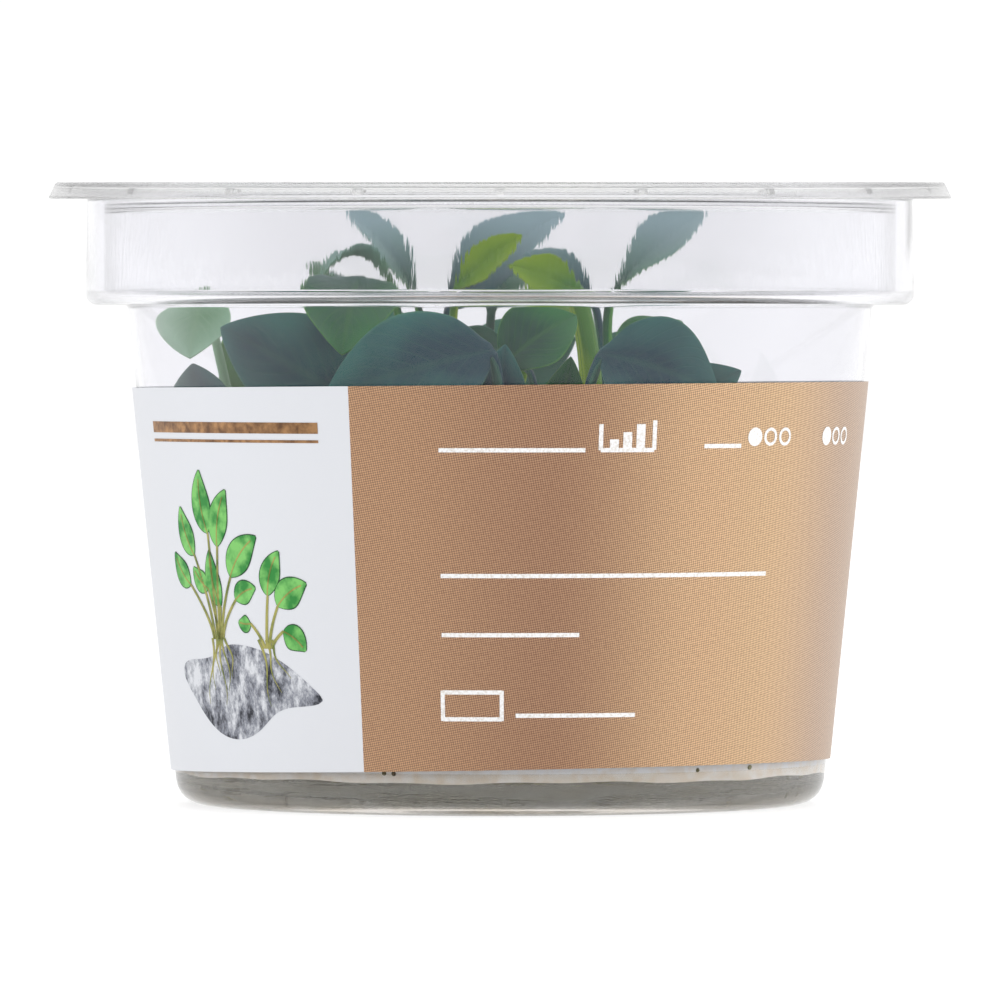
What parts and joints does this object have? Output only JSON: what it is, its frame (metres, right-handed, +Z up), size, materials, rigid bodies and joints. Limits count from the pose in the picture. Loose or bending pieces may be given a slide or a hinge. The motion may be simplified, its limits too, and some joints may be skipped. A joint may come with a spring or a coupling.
{
  "type": "in-vitro plant cup",
  "caption": "Clear lidded plastic culture cup with a wrap label, holding a shallow layer of nutrient gel and a crowd of broad-leaved water plantlets.",
  "frame": {"origin": "centre of the cup's foot, on the plane it stands on", "axes": "+Z up through the lid, -Y towards the front of the label, +X to the right as seen from the front"},
  "size_m": [0.1038, 0.1038, 0.0714],
  "materials": {
    "cup": "clear polypropylene, smooth",
    "lid": "clear polypropylene, smooth",
    "label": "printed polypropylene film, satin",
    "gel": "set nutrient gel, cloudy and wet",
    "rhizome": "green creeping stem, matte",
    "leaf": "firm waxy leaf, satin"
  },
  "bodies": {
    "root": {"cup": "cup", "lid": "lid", "label": "label", "gel": "gel", "rhizome_1": "rhizome", "rhizome_2": "rhizome", "rhizome_3": "rhizome", "rhizome_4": "rhizome", "rhizome_5": "rhizome", "rhizome_6": "rhizome", "rhizome_7": "rhizome", "rhizome_8": "rhizome", "leaf_01": "leaf", "leaf_02": "leaf", "leaf_03": "leaf", "leaf_04": "leaf", "leaf_05": "leaf", "leaf_06": "leaf", "leaf_07": "leaf", "leaf_08": "leaf", "leaf_09": "leaf", "leaf_10": "leaf", "leaf_11": "leaf", "leaf_12": "leaf", "leaf_13": "leaf", "leaf_14": "leaf", "leaf_15": "leaf", "leaf_16": "leaf", "leaf_17": "leaf", "leaf_18": "leaf", "leaf_19": "leaf", "leaf_20": "leaf", "leaf_21": "leaf", "leaf_22": "leaf", "leaf_23": "leaf", "leaf_24": "leaf", "leaf_25": "leaf", "leaf_26": "leaf", "leaf_27": "leaf", "leaf_28": "leaf", "leaf_29": "leaf", "leaf_30": "leaf", "leaf_31": "leaf", "leaf_32": "leaf", "leaf_33": "leaf", "leaf_34": "leaf", "leaf_35": "leaf", "leaf_36": "leaf"}
  },
  "joints": []
}
